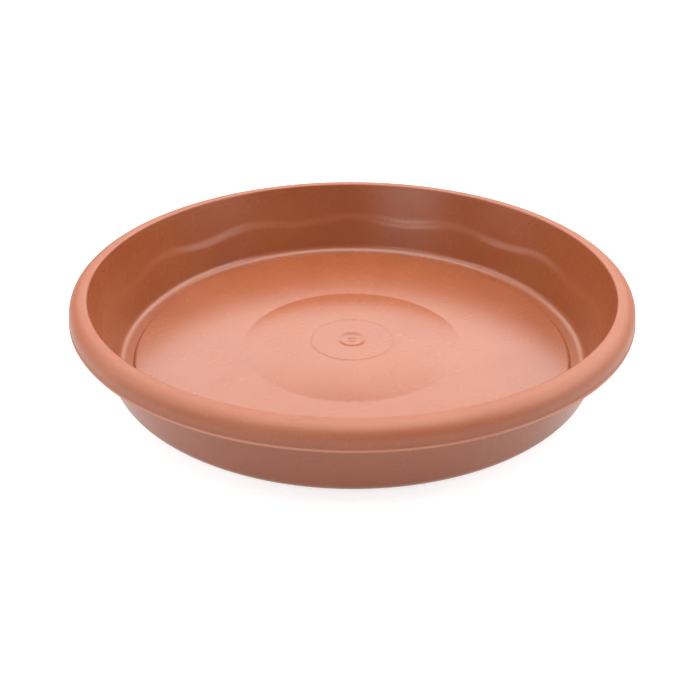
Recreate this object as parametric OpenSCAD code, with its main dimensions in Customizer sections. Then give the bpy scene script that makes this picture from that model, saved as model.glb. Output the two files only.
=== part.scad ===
// Round plant saucer (drip tray) with a hollow rolled rim, moulded in one piece.
// Units are millimetres. The axis of the saucer is Z and it stands on Z = 0.

/* [Overall] */
// Diameter over the rolled rim
rim_d = 300; // [240:5:400]
// Height from the foot to the top of the rim
overall_h = 46; // [36:1:60]

/* [Wall] */
// Thickness of the wall above its inner ledge
wall_t = 1.9; // [1.5:0.1:2.6]
// Extra thickness of the wall below its inner ledge
ledge_w = 0.7; // [0.3:0.1:1.2]
// Height of the inner ledge above the foot
ledge_z = 21; // [17:0.5:24]
// Height over which the ledge slopes
ledge_h = 4; // [2:0.5:6]
// Radius that blends the ledge into the wall above and below
ledge_r = 16; // [4:1:20]
// Lean of the wall from upright, in degrees
draft = 12.2; // [5:0.1:16]
// Radius of the corner between the wall and the foot, on the outside
corner_r = 11; // [7:0.5:14]

/* [Rim] */
// Width of the rim, from the outside of the wall at the lip to the outside of the rim
rim_w = 10.7; // [8:0.1:14]
// Height of the rim from its lip to its top
rim_h = 10.6; // [9:0.1:14]
// Thickness of the rim
rim_t = 1.9; // [1.4:0.1:2.4]
// Height over which the rim's top curves down into its side
crown_h = 6.5; // [5:0.25:7]
// Radius of the edge between the rim's top and the inside of the wall
crest_r = 1.1; // [0.8:0.1:2.5]
// Height of the thin bead round the lip
bead_h = 1.4; // [0.8:0.1:1.6]
// How far the bead stands out of the rim's side
bead_w = 0.6; // [0.2:0.1:0.7]
// Radius in the root of the rim's hollow, against the wall
root_r = 0.8; // [0.4:0.1:1]

/* [Gussets] */
// Number of gussets in the rim's hollow
gusset_count = 12; // [6:1:24]
// Thickness of one gusset
gusset_t = 1.4; // [1:0.1:2.5]
// Height of the gussets' lower edge above the lip
gusset_gap = 3; // [1.5:0.5:4]

/* [Floor] */
// Thickness of the floor
floor_t = 1.8; // [1.5:0.1:2.2]
// Height of the step from the gutter round the floor up to the floor disc
step_h = 1.5; // [1.4:0.1:2.5]
// Slope of that step, in degrees
step_angle = 50; // [40:1:60]
// Flat width of the gutter's bottom
gutter_w = 1.2; // [0.5:0.1:3]
// Flat width of the foot ring
foot_w = 1.4; // [1:0.1:2]
// Diameter of the ring where the floor is lowest and its slope breaks
valley_d = 123; // [100:1:140]
// How far the floor falls from its edge to that ring
valley_fall = 1.2; // [0.6:0.1:1.3]
// How far the floor rises again, in a curve that eases off, to the mould insert's mark
dome_rise = 2; // [1:0.1:3]

/* [Mould marks] */
// Diameter of the thin ring that the mould's insert leaves
insert_d = 47; // [36:1:60]
// Width of that ring
insert_line_w = 0.8; // [0.4:0.1:1.2]
// Depth of that ring
insert_line_h = 0.25; // [0.1:0.05:0.4]
// Diameter of the dimple round the gate
gate_d = 16.5; // [12:0.5:20]
// Width of the dimple's slope
gate_slope_w = 2.5; // [1.5:0.25:3]
// Depth of the dimple
gate_h = 0.5; // [0.2:0.05:0.6]
// Diameter of the low nub that the gate leaves in the dimple
nub_d = 5; // [3:0.5:5.5]
// Height of the nub above the bottom of the dimple
nub_h = 0.4; // [0.2:0.05:0.5]

/* [Hidden] */

$fn = 180;
// Widest angle between two points of an arc
arc_step = 7.5;
// Number of straight stretches in the curves of the domed floor and of the rim's top
dome_steps = 8;
crown_steps = 14;

rim_r = rim_d / 2;
lip_z = overall_h - rim_h;
// The wall's outside, followed down to the plane of the foot
base_r = rim_r - rim_w - lip_z * tan(draft);
// Heights of the floor's upper side
edge_z = floor_t + step_h;
valley_z = edge_z - valley_fall;
centre_z = valley_z + dome_rise;
// Horizontal run of the step round the floor disc
step_run = step_h / tan(step_angle);
gutter_r = corner_r - wall_t - ledge_w;
// Where the round corners inside and outside meet the level stretches that follow them
gutter_out = inside(floor_t, ledge_w) - gutter_r * tan((90 - draft) / 2);
foot_out = base_r - corner_r * tan((90 - draft) / 2);
step_foot = gutter_out - gutter_w;
step_top = step_foot - step_run;
foot_in = foot_out - foot_w;
// The rim's side, the level top inside its curve, and its hollow
skirt_r = rim_r - bead_w;
crown_w = skirt_r - outside(overall_h) - crest_r;
hollow_z = overall_h - rim_t;
hollow_r = skirt_r - rim_t;
hollow_w = hollow_r - outside(hollow_z) - 2 * root_r;

valley_r = valley_d / 2;
insert_r = insert_d / 2;
gate_r = gate_d / 2;
nub_r = nub_d / 2;
line_r = insert_line_w / 2;

// Radius of the wall's outside at height z
function outside(z) = base_r + z * tan(draft);

// Radius of the wall's inside at height z, where the wall has that much extra thickness
function inside(z, extra) = outside(z) - (wall_t + extra) / cos(draft);

// The domed middle of the floor, from the valley up to the insert's mark, lowered by that much
function dome(lowered) = [
    for (i = [0:dome_steps])
        let (outwards = 1 - i / dome_steps)
        [
            insert_r + (valley_r - insert_r) * outwards,
            centre_z - dome_rise * pow(outwards, 2) - lowered,
            0
        ]
];

// A quarter of an ellipse, w wide and h high, from an upright side at radius r to a level top at z
function crown(r, z, w, h) = [
    for (i = [0:crown_steps])
        let (a = 90 * i / crown_steps)
        [r - w * (1 - cos(a)), z - h * (1 - sin(a)), 0]
];

function reversed(list) = [for (i = [len(list) - 1:-1:0]) list[i]];
function flat(corner) = [corner[0], corner[1]];
function unit(v) = v / norm(v);
function half_turn(a) = a > 180 ? a - 360 : a < -180 ? a + 360 : a;

// The corner [r, z, radius] between two others, as points of the arc that rounds it.
// The arc takes at most half of the shorter side.
function fillet(before, corner, after) =
    let (
        to_before = flat(before) - flat(corner),
        to_after = flat(after) - flat(corner),
        u = unit(to_before),
        v = unit(to_after),
        half = acos(u * v) / 2,
        room = 0.49 * min(norm(to_before), norm(to_after)),
        r = min(corner[2], room * tan(half)),
        centre = flat(corner) + unit(u + v) * r / sin(half),
        first = flat(corner) + u * r / tan(half) - centre,
        last = flat(corner) + v * r / tan(half) - centre,
        start = atan2(first[1], first[0]),
        sweep = half_turn(atan2(last[1], last[0]) - start),
        steps = max(1, ceil(abs(sweep) / arc_step))
    )
    [
        for (i = [0:steps])
            let (a = start + sweep * i / steps)
            centre + r * [cos(a), sin(a)]
    ];

// A closed outline through corners [r, z, radius]; a corner of radius 0 stays sharp
function rounded(corners) =
    let (n = len(corners))
    [
        for (i = [0:n - 1])
            each corners[i][2] > 0
                ? fillet(corners[(i + n - 1) % n], corners[i], corners[(i + 1) % n])
                : [flat(corners[i])]
    ];

// Under the floor and the foot ring, from the axis outwards
underside = [
    [0, centre_z - floor_t, 0],
    each reversed(dome(floor_t)),
    [foot_in - step_run, edge_z - floor_t, 1.5],
    [foot_in, 0, 0.5],
    [base_r, 0, corner_r],
];

// Up the outside, through the rim's hollow, round the lip and over the rim's top
rim = [
    [outside(hollow_z), hollow_z, root_r],
    each reversed(crown(hollow_r, hollow_z, hollow_w, crown_h - rim_t)),
    [hollow_r, lip_z, 0.4],
    [rim_r, lip_z, 0.4],
    [rim_r, lip_z + bead_h / 2, 0.3],
    [skirt_r, lip_z + bead_h, 0.4],
    each crown(skirt_r, overall_h, crown_w, crown_h),
    [inside(overall_h, 0), overall_h, crest_r],
];

// Down the inside of the wall to the gutter and up the step onto the floor disc
well = [
    [inside(ledge_z + ledge_h, 0), ledge_z + ledge_h, ledge_r],
    [inside(ledge_z, ledge_w), ledge_z, ledge_r],
    [inside(floor_t, ledge_w), floor_t, gutter_r],
    [step_foot, floor_t, 0.5],
    [step_top, edge_z, 1.6],
    each dome(0),
];

// The level middle with the marks of the mould's insert and gate, ending on the axis
marks = [
    [insert_r - line_r, centre_z - insert_line_h, 0],
    [insert_r - 2 * line_r, centre_z, 0.2],
    [gate_r, centre_z, 4],
    [gate_r - gate_slope_w, centre_z - gate_h, 4],
    [nub_r, centre_z - gate_h, 2],
    [nub_r / 2, centre_z - gate_h + nub_h, 2],
    [0, centre_z - gate_h + nub_h, 0],
];

// The outline that fills the rim's hollow. It ends in the middle of the wall and of the rim, so that
// a gusset of this outline joins both.
filled_hollow = [
    [outside(lip_z) - wall_t / 2, lip_z],
    [hollow_r + rim_t / 2, lip_z],
    for (point = crown(hollow_r + rim_t / 2, hollow_z + rim_t / 2, hollow_w + rim_t / 2, crown_h - rim_t / 2))
        flat(point),
    [outside(hollow_z) - wall_t / 2, hollow_z + rim_t / 2],
];

module shell() {
    rotate_extrude()
        polygon(rounded(concat(underside, rim, well, marks)));
}

module gussets() {
    for (i = [0:gusset_count - 1])
        rotate([90, 0, i * 360 / gusset_count])
            linear_extrude(height = gusset_t, center = true)
                intersection() {
                    polygon(filled_hollow);
                    translate([0, lip_z + gusset_gap])
                        square([rim_r, rim_h]);
                }
}

module saucer() {
    color([0.80, 0.47, 0.36]) {
        shell();
        gussets();
    }
}

saucer();
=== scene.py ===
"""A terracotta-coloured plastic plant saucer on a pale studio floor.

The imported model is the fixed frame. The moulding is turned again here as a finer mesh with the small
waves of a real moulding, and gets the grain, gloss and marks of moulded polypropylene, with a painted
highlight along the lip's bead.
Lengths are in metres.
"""

from __future__ import annotations

import logging
import math
from dataclasses import dataclass, field
from enum import Enum
from typing import NamedTuple

import bpy
import numpy as np
from mathutils import Matrix, Vector


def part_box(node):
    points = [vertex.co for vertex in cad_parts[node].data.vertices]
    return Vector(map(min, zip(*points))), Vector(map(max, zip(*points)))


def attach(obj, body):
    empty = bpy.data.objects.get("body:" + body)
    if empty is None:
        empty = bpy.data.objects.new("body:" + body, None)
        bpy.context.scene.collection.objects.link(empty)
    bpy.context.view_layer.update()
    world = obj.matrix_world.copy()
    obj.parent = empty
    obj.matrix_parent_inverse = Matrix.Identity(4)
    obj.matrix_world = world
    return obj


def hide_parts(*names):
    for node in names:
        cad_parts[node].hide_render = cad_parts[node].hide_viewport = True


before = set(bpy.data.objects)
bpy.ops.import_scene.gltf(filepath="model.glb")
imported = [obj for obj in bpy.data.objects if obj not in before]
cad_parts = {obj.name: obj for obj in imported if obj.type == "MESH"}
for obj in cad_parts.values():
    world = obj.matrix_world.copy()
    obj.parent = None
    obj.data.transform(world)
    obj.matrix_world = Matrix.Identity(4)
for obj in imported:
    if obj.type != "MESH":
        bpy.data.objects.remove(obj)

LOG = logging.getLogger("saucer")
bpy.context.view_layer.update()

Colour = tuple[float, float, float]
Outline = list[tuple[float, float]]

# The share of a side that the rounding of one of its corners may take
SIDE_SHARE = 0.49
# A stretch shorter than this many supporting edges gets no extra points
SHORT_STRETCH = 3


class Corner(NamedTuple):
    """A corner of a turned outline: its radius from the axis, its height and how far it is rounded."""

    r: float
    z: float
    rounding: float = 0.0


class Shading(Enum):
    """How a mesh's faces meet in the light."""

    SMOOTH = True
    FLAT = False


# ---------------------------------------------------------------------------------------------
# Outlines


def fillet(before: Corner, corner: Corner, after: Corner, widest: float) -> Outline:
    """Rounds one corner of an outline.

    Args:
        before: The corner before it.
        corner: The corner to round.
        after: The corner after it.
        widest: The widest angle between two points of the arc, in degrees.

    Returns:
        The points of the arc, which takes at most half of the shorter side.
    """
    at = Vector((corner.r, corner.z))
    to_before = Vector((before.r, before.z)) - at
    to_after = Vector((after.r, after.z)) - at
    u, v = to_before.normalized(), to_after.normalized()
    half = u.angle(v) / 2
    room = SIDE_SHARE * min(to_before.length, to_after.length)
    radius = min(corner.rounding, room * math.tan(half))
    centre = at + (u + v).normalized() * radius / math.sin(half)
    first = at + u * radius / math.tan(half) - centre
    last = at + v * radius / math.tan(half) - centre
    start = math.atan2(first.y, first.x)
    sweep = math.remainder(math.atan2(last.y, last.x) - start, math.tau)
    steps = max(2, math.ceil(abs(math.degrees(sweep)) / widest))
    angles = [start + sweep * i / steps for i in range(steps + 1)]
    return [(centre.x + radius * math.cos(a), centre.y + radius * math.sin(a)) for a in angles]


def rounded(corners: list[Corner], widest: float = 6.0) -> Outline:
    """Rounds every corner of a closed outline that has a rounding.

    Args:
        corners: The corners in order.
        widest: The widest angle between two points of an arc, in degrees.

    Returns:
        The outline's points.
    """
    points: Outline = []
    for i, corner in enumerate(corners):
        if corner.rounding > 0:
            points += fillet(corners[i - 1], corner, corners[(i + 1) % len(corners)], widest)
        else:
            points.append((corner.r, corner.z))
    return points


def with_supports(points: Outline, edge: float, longest: float) -> Outline:
    """Adds points to the long stretches of an open outline, so that smooth shading stays flat there.

    Args:
        points: The outline's points.
        edge: How far from each end of a long stretch its first extra point is.
        longest: The longest stretch that is left without a point.

    Returns:
        The outline with the extra points.
    """
    result: Outline = []
    for (r0, z0), (r1, z1) in zip(points, points[1:]):
        result.append((r0, z0))
        length = math.hypot(r1 - r0, z1 - z0)
        if length < SHORT_STRETCH * edge:
            continue
        inner = length - 2 * edge
        count = max(1, math.ceil(inner / longest))
        for i in range(count + 1):
            t = (edge + inner * i / count) / length
            result.append((r0 + (r1 - r0) * t, z0 + (z1 - z0) * t))
    result.append(points[-1])
    return result


def smooth_bump(value: np.ndarray, middle: float, reach: float) -> np.ndarray:
    """A smooth hump that is 1 at the middle and 0 beyond its reach.

    Args:
        value: Where to measure it.
        middle: Where the hump is highest.
        reach: How far from the middle it ends.

    Returns:
        The hump's height at each value.
    """
    t = np.clip(np.abs(value - middle) / reach, 0.0, 1.0)
    return 0.5 + 0.5 * np.cos(np.pi * t)


def mesh_object(
    name: str,
    vertices: np.ndarray,
    faces: list[tuple[int, ...]],
    shading: Shading = Shading.SMOOTH,
) -> bpy.types.Object:
    """Makes a mesh object and puts it in the scene.

    Args:
        name: The object's name.
        vertices: One row of three coordinates for each vertex.
        faces: The vertices of each face.
        shading: How its faces meet in the light.

    Returns:
        The new object.
    """
    mesh = bpy.data.meshes.new(name)
    mesh.from_pydata(vertices.tolist(), [], faces)
    mesh.polygons.foreach_set("use_smooth", [shading.value] * len(mesh.polygons))
    mesh.validate()
    mesh.update()
    made = bpy.data.objects.new(name, mesh)
    bpy.context.scene.collection.objects.link(made)
    return made


# ---------------------------------------------------------------------------------------------
# Shader expressions


class Signal:
    """A shader socket that adds Math nodes when it is used in an expression."""

    def __init__(self, graph: Graph, socket: bpy.types.NodeSocket) -> None:
        """Wraps a socket of a graph."""
        self.graph = graph
        self.socket = socket

    def _math(self, operation: str, *values: Signal | float) -> Signal:
        """Adds one Math node on these values."""
        return self.graph.math(operation, *values)

    def __add__(self, other: Signal | float) -> Signal:
        """Adds a value."""
        return self._math("ADD", self, other)

    def __radd__(self, other: float) -> Signal:
        """Adds this to a number."""
        return self._math("ADD", other, self)

    def __sub__(self, other: Signal | float) -> Signal:
        """Takes a value away."""
        return self._math("SUBTRACT", self, other)

    def __mul__(self, other: Signal | float) -> Signal:
        """Multiplies by a value."""
        return self._math("MULTIPLY", self, other)

    def __rmul__(self, other: float) -> Signal:
        """Multiplies a number by this."""
        return self._math("MULTIPLY", other, self)

    def __rtruediv__(self, other: float) -> Signal:
        """Divides a number by this."""
        return self._math("DIVIDE", other, self)

    def __pow__(self, other: float) -> Signal:
        """Raises this to a power."""
        return self._math("POWER", self, other)

    def step(self, low: float, high: float) -> Signal:
        """A smooth step over this value.

        Args:
            low: Where the step is still 0.
            high: Where it has reached 1. It may be below low, for a falling step.

        Returns:
            The step, from 0 to 1.
        """
        falls = high < low
        node = self.graph.node(
            "ShaderNodeMapRange",
            {"interpolation_type": "SMOOTHSTEP"},
            {
                "Value": self,
                "From Min": min(low, high),
                "From Max": max(low, high),
                "To Min": 1.0 if falls else 0.0,
                "To Max": 0.0 if falls else 1.0,
            },
        )
        return self.graph.out(node, "Result")


class Graph:
    """The node tree of one material."""

    def __init__(self, material: bpy.types.Material) -> None:
        """Empties a material's tree and takes it over.

        Args:
            material: The material to fill.
        """
        material.use_nodes = True
        self.tree = material.node_tree
        self.tree.nodes.clear()

    def node(
        self,
        kind: str,
        settings: dict[str, object] | None = None,
        sockets: dict[str | int, object] | None = None,
    ) -> bpy.types.Node:
        """Adds any node.

        Args:
            kind: The node's type.
            settings: Its settings, which are set first.
            sockets: A value or a link for each socket, by name or number.

        Returns:
            The new node.
        """
        made = self.tree.nodes.new(kind)
        for name, value in (settings or {}).items():
            setattr(made, name, value)
        for name, value in (sockets or {}).items():
            if isinstance(value, Signal):
                self.tree.links.new(value.socket, made.inputs[name])
            else:
                made.inputs[name].default_value = value
        return made

    def out(self, node: bpy.types.Node, name: str | int) -> Signal:
        """One output of a node, ready for expressions."""
        return Signal(self, node.outputs[name])

    def math(self, operation: str, *values: Signal | float) -> Signal:
        """Adds a Math node.

        Args:
            operation: The node's operation.
            *values: Its one or two values.

        Returns:
            The result.
        """
        node = self.node("ShaderNodeMath", {"operation": operation}, dict(enumerate(values)))
        return self.out(node, 0)

    def mix(self, factor: Signal | float, a: Signal | Colour, b: Signal | Colour) -> Signal:
        """Mixes two colours.

        Args:
            factor: The share of the second colour.
            a: The first colour.
            b: The second colour.

        Returns:
            The mixed colour.
        """
        first, second = (v if isinstance(v, Signal) else (*v, 1.0) for v in (a, b))
        node = self.node("ShaderNodeMix", {"data_type": "RGBA"}, {0: factor, 6: first, 7: second})
        return self.out(node, 2)

    def noise(self, at: Signal, scale: float, detail: float = 2.0, roughness: float = 0.5) -> Signal:
        """Noise from 0 to 1.

        Args:
            at: The place to read it at.
            scale: Cells for each metre.
            detail: How many finer layers it has.
            roughness: How strong the finer layers are.

        Returns:
            The noise's value.
        """
        sockets = {"Vector": at, "Scale": scale, "Detail": detail, "Roughness": roughness}
        return self.out(self.node("ShaderNodeTexNoise", None, sockets), "Fac")

    def vector(self, x: Signal | float, y: Signal | float, z: Signal | float) -> Signal:
        """A vector of three values."""
        return self.out(self.node("ShaderNodeCombineXYZ", None, {"X": x, "Y": y, "Z": z}), 0)


# ---------------------------------------------------------------------------------------------
# Finishes


@dataclass(frozen=True)
class Blemish:
    """A small round mark in the pigment of the floor."""

    x: float
    y: float
    reach: float
    share: float
    colour: Colour

    # The mark's width against its depth, and how much of its reach has the full colour
    stretch: float = 1.6
    core: float = 0.3


@dataclass(frozen=True)
class MouldedPolypropylene:
    """Terracotta polypropylene as it leaves the mould: grained on the rim, smoother in the well."""

    name: str = "terracotta_polypropylene"
    ior: float = 1.49

    # The pigment: its slow clouds, the streaks of the flow and the dry specks
    colour: Colour = (0.235, 0.063, 0.022)
    pale_colour: Colour = (0.27, 0.085, 0.038)
    deep_colour: Colour = (0.22, 0.056, 0.019)
    # The pale colour of the dry specks, also used for the painted highlight on the lip's bead
    pale_speck_and_highlight_colour: Colour = (0.40, 0.20, 0.13)
    cloud_cells: float = 22.0
    streak_share: float = 0.12
    speck_cells: float = 900.0
    speck_share: float = 0.03
    rim_speck_share: float = 0.20

    # The gloss, and how much it varies
    rim_roughness: float = 0.50
    well_roughness: float = 0.27
    patch_cells: float = 60.0
    patch_roughness: float = 0.05
    streak_roughness: float = 0.02

    # The relief: the mould's grain and slow ripples
    grain_cells: float = 1500.0
    grain_depth: float = 0.00011
    grain_strength: float = 0.6
    ripple_cells: float = 45.0
    ripple_depth: float = 0.00008
    ripple_strength: float = 0.5
    streak_relief: float = 0.1

    # The streaks: how many there are around and along, and the gate's size, which they start from
    streaks_around: float = 9.0
    streaks_along: float = 14.0
    gate_size: float = 0.004

    # Where the grain begins, outside the well and above the foot
    wall_inside: float = 0.1385
    wall_blend: float = 0.003
    foot: float = 0.0012
    foot_blend: float = 0.004

    # The painted highlight: a pale band painted on the bead at the lip's lower edge, where light catches it
    lip_radius: float = 0.1495
    lip_radius_blend: float = 0.0003
    lip_top: float = 0.0369
    lip_top_blend: float = 0.0005
    lip_highlight_share: float = 0.45

    # The floor's blemishes: a dark notch on the insert's ring and a pale chip beside it
    blemishes: tuple[Blemish, ...] = (
        Blemish(-0.0082, -0.0220, reach=0.0011, share=0.55, colour=(0.10, 0.022, 0.008)),
        Blemish(0.0270, 0.0045, reach=0.0018, share=0.45, colour=(0.40, 0.20, 0.13)),
    )
    floor_top: float = 0.010
    floor_blend: float = 0.002

    def build(self) -> bpy.types.Material:
        """Makes the material.

        Returns:
            The finished material.
        """
        material = bpy.data.materials.new(self.name)
        graph = Graph(material)
        place = graph.out(graph.node("ShaderNodeTexCoord"), "Object")
        parts = graph.node("ShaderNodeSeparateXYZ", None, {0: place})
        x, y, z = (graph.out(parts, axis) for axis in range(3))
        radius = (x * x + y * y) ** 0.5
        grained = self._grained(radius, z)
        flow = self._flow(graph, x, y, radius)
        pigment = self._colour(graph, place, flow, grained)
        shader = graph.node(
            "ShaderNodeBsdfPrincipled",
            None,
            {
                "Base Color": self._marked(graph, pigment, (x, y, z), radius),
                "Roughness": self._roughness(graph, place, flow, grained),
                "IOR": self.ior,
                "Normal": self._surface(graph, place, flow, grained),
            },
        )
        graph.node("ShaderNodeOutputMaterial", None, {"Surface": graph.out(shader, 0)})
        return material

    def _grained(self, radius: Signal, z: Signal) -> Signal:
        """Where the mould is grained: over the rim and down the outside, but not in the well."""
        outside = radius.step(self.wall_inside, self.wall_inside + self.wall_blend)
        return outside * z.step(self.foot, self.foot + self.foot_blend)

    def _flow(self, graph: Graph, x: Signal, y: Signal, radius: Signal) -> Signal:
        """Faint streaks that run out from the gate, as the melt flowed.

        Args:
            graph: The material's nodes.
            x: The place along X.
            y: The place along Y.
            radius: The distance from the axis.

        Returns:
            The streaks, from 0 to 1.
        """
        around = 1.0 / (radius + self.gate_size)
        turned = (x * around * self.streaks_around, y * around * self.streaks_around)
        return graph.noise(graph.vector(*turned, radius * self.streaks_along), 1.0, 4.0, 0.6)

    def _roughness(self, graph: Graph, place: Signal, flow: Signal, grained: Signal) -> Signal:
        """The roughness: higher where the mould is grained, with slow patches and faint streaks.

        Args:
            graph: The material's nodes.
            place: The place on the object.
            flow: The flow's streaks.
            grained: Where the mould is grained.

        Returns:
            The roughness.
        """
        rough = self.well_roughness + (self.rim_roughness - self.well_roughness) * grained
        patches = self.patch_roughness * (graph.noise(place, self.patch_cells, 3.0) - 0.5)
        return rough + patches + self.streak_roughness * (flow - 0.5)

    def _colour(self, graph: Graph, place: Signal, flow: Signal, grained: Signal) -> Signal:
        """The pigment's colour: slow clouds, flow streaks and a few dry specks.

        Args:
            graph: The material's nodes.
            place: The place on the object.
            flow: The flow's streaks.
            grained: Where the mould is grained.

        Returns:
            The colour.
        """
        clouds = graph.noise(place, self.cloud_cells, 3.0).step(0.3, 0.7)
        base = graph.mix(clouds, self.deep_colour, self.colour)
        streaked = graph.mix(flow.step(0.35, 0.9) * self.streak_share, base, self.pale_colour)
        specks = graph.noise(place, self.speck_cells, 2.0).step(0.60, 0.75)
        share = self.speck_share + self.rim_speck_share * grained
        return graph.mix(specks * share, streaked, self.pale_speck_and_highlight_colour)

    def _marked(self, graph: Graph, base: Signal, place: tuple[Signal, ...], radius: Signal) -> Signal:
        """Adds a painted highlight on the lip's bead and the floor's blemishes to the pigment.

        Args:
            graph: The material's nodes.
            base: The pigment's colour.
            place: The place along X, Y and Z.
            radius: The distance from the axis.

        Returns:
            The colour with its marks.
        """
        x, y, z = place
        # Painted highlight: the bead, outermost and below the lip's top, is painted pale as if light caught
        # it
        outermost = radius.step(self.lip_radius, self.lip_radius + self.lip_radius_blend)
        lip_highlight = outermost * z.step(self.lip_top, self.lip_top - self.lip_top_blend)
        colour = graph.mix(lip_highlight * self.lip_highlight_share, base, self.pale_speck_and_highlight_colour)
        for mark in self.blemishes:
            across = x - mark.x
            along = (y - mark.y) * mark.stretch
            distance = (across * across + along * along) ** 0.5
            on_floor = z.step(self.floor_top, self.floor_top - self.floor_blend)
            near = on_floor * distance.step(mark.reach, mark.core * mark.reach)
            colour = graph.mix(near * mark.share, colour, mark.colour)
        return colour

    def _surface(self, graph: Graph, place: Signal, flow: Signal, grained: Signal) -> Signal:
        """The fine relief: the mould's grain on the rim and slow ripples all over.

        Args:
            graph: The material's nodes.
            place: The place on the object.
            flow: The flow's streaks.
            grained: Where the mould is grained.

        Returns:
            The normal.
        """
        grain = graph.noise(place, self.grain_cells, 2.0, 0.6) * grained
        fine = graph.node(
            "ShaderNodeBump",
            None,
            {"Strength": self.grain_strength, "Distance": self.grain_depth, "Height": grain},
        )
        slow = graph.node(
            "ShaderNodeBump",
            None,
            {
                "Strength": self.ripple_strength,
                "Distance": self.ripple_depth,
                "Height": graph.noise(place, self.ripple_cells, 2.0) + self.streak_relief * flow,
                "Normal": graph.out(fine, 0),
            },
        )
        return graph.out(slow, 0)


@dataclass(frozen=True)
class PaleSweep:
    """The matt grey sheet that the saucer stands on, which glows white as a light table does."""

    name: str = "pale_sweep"
    colour: Colour = (0.40, 0.40, 0.40)
    glow: float = 0.72
    roughness: float = 0.85
    weave_cells: float = 500.0
    weave_depth: float = 0.0002
    weave_strength: float = 0.4

    def build(self) -> bpy.types.Material:
        """Makes the material.

        Returns:
            The finished material.
        """
        material = bpy.data.materials.new(self.name)
        graph = Graph(material)
        place = graph.out(graph.node("ShaderNodeTexCoord"), "Object")
        weave = graph.node(
            "ShaderNodeBump",
            None,
            {
                "Strength": self.weave_strength,
                "Distance": self.weave_depth,
                "Height": graph.noise(place, self.weave_cells, 3.0),
            },
        )
        shader = graph.node(
            "ShaderNodeBsdfPrincipled",
            None,
            {
                "Base Color": (*self.colour, 1.0),
                "Roughness": self.roughness,
                "Normal": graph.out(weave, 0),
                "Emission Color": (1.0, 1.0, 1.0, 1.0),
                "Emission Strength": self.glow,
            },
        )
        graph.node("ShaderNodeOutputMaterial", None, {"Surface": graph.out(shader, 0)})
        return material


# ---------------------------------------------------------------------------------------------
# The saucer


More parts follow.
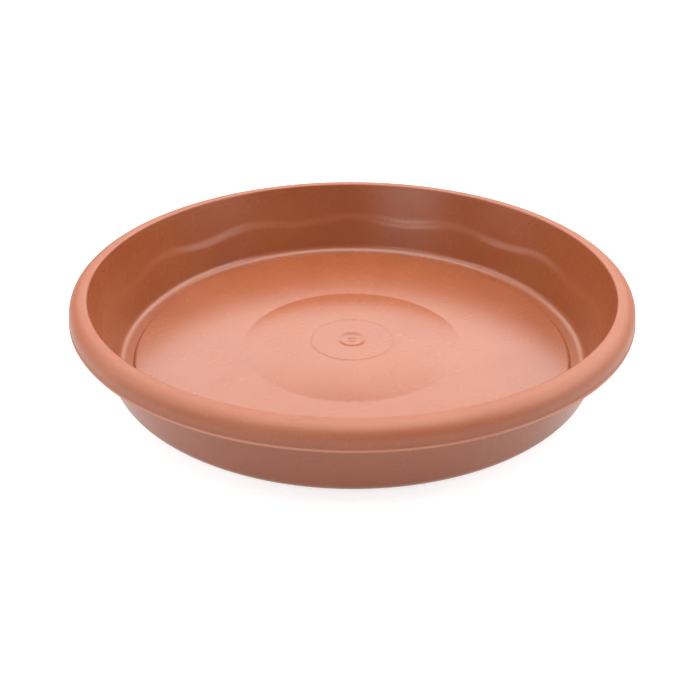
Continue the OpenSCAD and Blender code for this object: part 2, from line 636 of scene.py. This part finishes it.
@dataclass
class Moulding:
    """The saucer's one moulding: floor, foot ring, wall and rolled rim, turned about the Z axis."""

    rim_r: float
    height: float
    wall_t: float = 0.0019
    ledge_w: float = 0.0007
    ledge_z: float = 0.021
    ledge_h: float = 0.004
    ledge_r: float = 0.016
    draft: float = math.radians(12.2)
    corner_r: float = 0.011
    rim_w: float = 0.0107
    rim_h: float = 0.0106
    rim_t: float = 0.0019
    crown_h: float = 0.0065
    crest_r: float = 0.0011
    bead_h: float = 0.0014
    bead_w: float = 0.0006
    root_r: float = 0.0008
    floor_t: float = 0.0018
    step_h: float = 0.0015
    step_angle: float = math.radians(50)
    gutter_w: float = 0.0012
    foot_w: float = 0.0014
    valley_r: float = 0.0615
    valley_fall: float = 0.0012
    dome_rise: float = 0.002
    insert_r: float = 0.0235
    insert_line_w: float = 0.0008
    insert_line_h: float = 0.00025
    gate_r: float = 0.00825
    gate_slope_w: float = 0.0025
    gate_h: float = 0.0005
    nub_r: float = 0.0025
    nub_h: float = 0.0004
    dome_steps: int = 24
    crown_steps: int = 24
    gusset_count: int = 12
    gusset_t: float = 0.0014
    gusset_gap: float = 0.003

    # The ledge's slow waves, the height over which they fade and the lowest that they reach
    ledge_wave: float = 0.0018
    wave_reach: float = 0.010
    wave_lowest: float = 0.006
    # How much of the wall's thickness, from its outside, the waves leave alone
    still_share: float = 0.6

    # The roundings of the section's corners
    under_step_r: float = 0.0015
    foot_edge_r: float = 0.0005
    lip_edge_r: float = 0.0004
    bead_edge_r: float = 0.0003
    gutter_edge_r: float = 0.0005
    step_top_r: float = 0.0016
    line_edge_r: float = 0.0002
    dimple_edge_r: float = 0.004
    nub_edge_r: float = 0.002

    # The mesh: its turns, and the points that keep its straight stretches flat
    segments: int = 360
    support_edge: float = 0.0004
    support_gap: float = 0.003

    lip_z: float = field(init=False)
    base_r: float = field(init=False)

    def __post_init__(self) -> None:
        """Works out the two sizes that the outline starts from."""
        self.lip_z = self.height - self.rim_h
        self.base_r = self.rim_r - self.rim_w - self.lip_z * math.tan(self.draft)

    def outside(self, z: float) -> float:
        """The radius of the wall's outside at a height."""
        return self.base_r + z * math.tan(self.draft)

    def inside(self, z: float, extra: float = 0.0) -> float:
        """The radius of the wall's inside at a height, where the wall is thicker by extra."""
        return self.outside(z) - (self.wall_t + extra) / math.cos(self.draft)

    def dome(self, centre_z: float) -> list[Corner]:
        """The domed middle of the floor, from its mark's ring out to the valley round it.

        Args:
            centre_z: The height of the level middle.

        Returns:
            The corners of the curve, which falls ever faster towards the valley.
        """
        shares = [i / self.dome_steps for i in range(self.dome_steps + 1)]
        run = self.valley_r - self.insert_r
        return [Corner(self.insert_r + run * t, centre_z - self.dome_rise * t * t) for t in shares]

    def crown(self, r: float, z: float, width: float, height: float) -> list[Corner]:
        """A quarter of an ellipse, from an upright side up to a level top.

        Args:
            r: The radius of the side.
            z: The height of the top.
            width: The ellipse's width.
            height: The ellipse's height.

        Returns:
            The corners of the curve.
        """
        angles = [math.pi / 2 * i / self.crown_steps for i in range(self.crown_steps + 1)]
        return [Corner(r - width * (1 - math.cos(a)), z - height * (1 - math.sin(a))) for a in angles]

    def corners(self) -> list[Corner]:
        """The corners of the section, from the axis under the floor, round the rim and back."""
        edge_z = self.floor_t + self.step_h
        valley_z = edge_z - self.valley_fall
        centre_z = valley_z + self.dome_rise
        lean = math.tan((math.pi / 2 - self.draft) / 2)
        gutter_r = self.corner_r - self.wall_t - self.ledge_w
        step_foot = self.inside(self.floor_t, self.ledge_w) - gutter_r * lean - self.gutter_w
        step_run = self.step_h / math.tan(self.step_angle)
        foot_in = self.base_r - self.corner_r * lean - self.foot_w
        hollow_z = self.height - self.rim_t
        skirt_r = self.rim_r - self.bead_w
        hollow_r = skirt_r - self.rim_t
        crown_w = skirt_r - self.outside(self.height) - self.crest_r
        hollow_w = hollow_r - self.outside(hollow_z) - 2 * self.root_r
        ledge_top = self.ledge_z + self.ledge_h
        line_bottom = self.insert_r - self.insert_line_w / 2
        dimple_z = centre_z - self.gate_h
        underside = [
            Corner(0, centre_z - self.floor_t),
            *self.dome(centre_z - self.floor_t),
            Corner(foot_in - step_run, edge_z - self.floor_t, self.under_step_r),
            Corner(foot_in, 0, self.foot_edge_r),
            Corner(self.base_r, 0, self.corner_r),
        ]
        rim = [
            Corner(self.outside(hollow_z), hollow_z, self.root_r),
            *reversed(self.crown(hollow_r, hollow_z, hollow_w, self.crown_h - self.rim_t)),
            Corner(hollow_r, self.lip_z, self.lip_edge_r),
            Corner(self.rim_r, self.lip_z, self.lip_edge_r),
            Corner(self.rim_r, self.lip_z + self.bead_h / 2, self.bead_edge_r),
            Corner(skirt_r, self.lip_z + self.bead_h, self.lip_edge_r),
            *self.crown(skirt_r, self.height, crown_w, self.crown_h),
            Corner(self.inside(self.height), self.height, self.crest_r),
        ]
        well = [
            Corner(self.inside(ledge_top), ledge_top, self.ledge_r),
            Corner(self.inside(self.ledge_z, self.ledge_w), self.ledge_z, self.ledge_r),
            Corner(self.inside(self.floor_t, self.ledge_w), self.floor_t, gutter_r),
            Corner(step_foot, self.floor_t, self.gutter_edge_r),
            Corner(step_foot - step_run, edge_z, self.step_top_r),
            *reversed(self.dome(centre_z)),
        ]
        marks = [
            Corner(line_bottom, centre_z - self.insert_line_h),
            Corner(self.insert_r - self.insert_line_w, centre_z, self.line_edge_r),
            Corner(self.gate_r, centre_z, self.dimple_edge_r),
            Corner(self.gate_r - self.gate_slope_w, dimple_z, self.dimple_edge_r),
            Corner(self.nub_r, dimple_z, self.nub_edge_r),
            Corner(self.nub_r / 2, dimple_z + self.nub_h, self.nub_edge_r),
            Corner(0, dimple_z + self.nub_h),
        ]
        return underside + rim + well + marks

    def _turned(self, section: Outline) -> tuple[np.ndarray, list[tuple[int, ...]]]:
        """Turns the section about the axis, with the wall's slow waves.

        Args:
            section: The outline, whose first and last points lie on the axis.

        Returns:
            The vertices and the faces.
        """
        n = self.segments
        angles = np.arange(n) * math.tau / n
        points = np.array(section[1:-1])
        r = np.repeat(points[:, :1], n, axis=1)
        z = np.repeat(points[:, 1:], n, axis=1)
        in_well = r < self.outside(0) + z * math.tan(self.draft) - self.still_share * self.wall_t
        middle = self.ledge_z + self.ledge_h / 2
        near_ledge = smooth_bump(z, middle, self.wave_reach) * in_well * (z > self.wave_lowest)
        lift = self.ledge_wave * np.cos(self.gusset_count * angles)[None, :] * near_ledge
        z = z + lift
        r = r + lift * math.tan(self.draft)
        rings = np.stack([r * np.cos(angles), r * np.sin(angles), z], axis=-1).reshape(-1, 3)
        ends = np.array([[0, 0, section[0][1]], [0, 0, section[-1][1]]])
        rows = len(points)
        bottom, top = rows * n, rows * n + 1
        faces: list[tuple[int, ...]] = []
        for j in range(n):
            k = (j + 1) % n
            faces.append((bottom, k, j))
            faces.append((top, (rows - 1) * n + j, (rows - 1) * n + k))
            faces += [(i * n + j, i * n + k, (i + 1) * n + k, (i + 1) * n + j) for i in range(rows - 1)]
        return np.vstack([rings, ends]), faces

    def build_shell(self) -> bpy.types.Object:
        """Makes the turned moulding.

        Returns:
            The moulding's object.
        """
        section = with_supports(rounded(self.corners()), self.support_edge, self.support_gap)
        vertices, faces = self._turned(section)
        return mesh_object("saucer_moulding", vertices, faces)

    def build_gussets(self) -> bpy.types.Object:
        """Makes the gussets in the rim's hollow, each a thin plate that joins wall and rim.

        Returns:
            The object that holds them all.
        """
        half = self.rim_t / 2
        hollow_z = self.height - self.rim_t
        hollow_r = self.rim_r - self.bead_w - self.rim_t
        crown_w = hollow_r - self.outside(hollow_z) - 2 * self.root_r + half
        low = self.lip_z + self.gusset_gap
        outline = rounded(
            [
                Corner(self.outside(low) - self.wall_t / 2, low),
                Corner(hollow_r + half, low),
                *self.crown(hollow_r + half, hollow_z + half, crown_w, self.crown_h - half),
                Corner(self.outside(hollow_z) - self.wall_t / 2, hollow_z + half),
            ]
        )
        count = len(outline)
        vertices, faces = [], []
        for g in range(self.gusset_count):
            turn = Matrix.Rotation(g * math.tau / self.gusset_count, 3, "Z")
            first = len(vertices)
            for side in (-0.5, 0.5):
                vertices += [tuple(turn @ Vector((r, side * self.gusset_t, z))) for r, z in outline]
            faces.append(tuple(first + i for i in range(count)))
            faces.append(tuple(first + count + i for i in reversed(range(count))))
            for i in range(count):
                k = (i + 1) % count
                faces.append((first + k, first + i, first + count + i, first + count + k))
        return mesh_object("rim_gussets", np.array(vertices), faces, Shading.FLAT)

    def dress(self, piece: bpy.types.Object, finish: bpy.types.Material) -> None:
        """Gives a piece its finish and its place in the frame.

        Args:
            piece: The piece.
            finish: Its material.
        """
        piece.data.materials.append(finish)
        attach(piece, "root")
        LOG.info("%s: %d vertices", piece.name, len(piece.data.vertices))

    def build(self, finish: bpy.types.Material) -> None:
        """Makes the moulding and its gussets, which stand for the CAD saucer.

        Args:
            finish: The material of both.
        """
        shell = self.build_shell()
        self.dress(shell, finish)
        self.dress(self.build_gussets(), finish)
        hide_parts("saucer")


# ---------------------------------------------------------------------------------------------
# The studio


@dataclass(frozen=True)
class SoftBox:
    """A rectangular soft light that faces a point above the saucer."""

    name: str
    place: tuple[float, float, float]
    width: float
    depth: float
    power: float
    aim: tuple[float, float, float] = (0.0, 0.0, 0.02)

    def build(self) -> None:
        """Makes the light."""
        data = bpy.data.lights.new(self.name, "AREA")
        data.shape = "RECTANGLE"
        data.size = self.width
        data.size_y = self.depth
        data.energy = self.power
        made = bpy.data.objects.new(self.name, data)
        made.location = self.place
        made.rotation_euler = (Vector(self.aim) - Vector(self.place)).to_track_quat("-Z", "Y").to_euler()
        bpy.context.scene.collection.objects.link(made)


@dataclass
class Studio:
    """The pale floor, the soft light and the camera."""

    lens: float = 46.4
    sensor: float = 36.0
    nearest: float = 0.01
    farthest: float = 100.0
    camera_place: tuple[float, float, float] = (-0.0011, -0.4450, 0.2543)
    pitch: float = 0.5243
    roll: float = 0.0022
    floor_size: float = 6.0
    ambient: float = 0.25
    boxes: tuple[SoftBox, ...] = (
        SoftBox("overhead", (0.0, 0.10, 1.50), 1.6, 1.6, 39.0),
        SoftBox("back_panel", (0.0, 1.31, 0.92), 1.6, 0.7, 12.0),
        SoftBox("back_right_panel", (0.89, 0.89, 0.98), 0.9, 0.7, 8.0),
        SoftBox("back_left_panel", (-0.89, 0.89, 0.98), 0.9, 0.7, 4.0),
        SoftBox("right_panel", (1.26, 0.0, 0.98), 1.2, 0.8, 17.0),
        SoftBox("left_panel", (-1.26, 0.0, 0.98), 1.2, 0.8, 10.0),
        SoftBox("low_left_panel", (-1.56, 0.0, 0.33), 1.2, 0.4, 3.0),
        SoftBox("front_panel", (-0.76, -0.76, 1.19), 1.2, 0.8, 5.5),
        SoftBox("low_front_panel", (-0.78, -1.34, 0.39), 0.8, 0.4, 4.5),
        SoftBox("low_right_panel", (1.52, -0.38, 0.36), 1.2, 0.4, 3.5),
    )

    def build_camera(self) -> None:
        """Makes the camera and sets it as the scene's own."""
        data = bpy.data.cameras.new("camera")
        data.lens = self.lens
        data.sensor_width = self.sensor
        data.clip_start = self.nearest
        data.clip_end = self.farthest
        camera = bpy.data.objects.new("camera", data)
        camera.location = self.camera_place
        turn = Matrix.Rotation(math.pi / 2 - self.pitch, 3, "X") @ Matrix.Rotation(self.roll, 3, "Z")
        camera.rotation_euler = turn.to_euler()
        bpy.context.scene.collection.objects.link(camera)
        bpy.context.scene.camera = camera

    def build_floor(self) -> None:
        """Makes the pale floor."""
        half = self.floor_size / 2
        corners = np.array([[-half, -half, 0.0], [half, -half, 0.0], [half, half, 0.0], [-half, half, 0.0]])
        floor = mesh_object("studio_floor", corners, [(0, 1, 2, 3)])
        floor.data.materials.append(PaleSweep().build())

    def build_light(self) -> None:
        """Makes the soft boxes and the evenly lit room around them."""
        for box in self.boxes:
            box.build()
        world = bpy.data.worlds.new("white_room")
        world.use_nodes = True
        background = world.node_tree.nodes["Background"]
        background.inputs["Color"].default_value = (1.0, 1.0, 1.0, 1.0)
        background.inputs["Strength"].default_value = self.ambient
        bpy.context.scene.world = world
        bpy.context.scene.view_settings.view_transform = "Standard"


def main() -> None:
    """Builds the camera, the saucer and the studio around them."""
    logging.basicConfig(level=logging.INFO, format="%(name)s: %(message)s")
    studio = Studio()
    studio.build_camera()
    low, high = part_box("saucer")
    moulding = Moulding(rim_r=min(high.x, high.y), height=high.z)
    moulding.build(MouldedPolypropylene().build())
    studio.build_floor()
    studio.build_light()


if __name__ == "__main__":
    main()
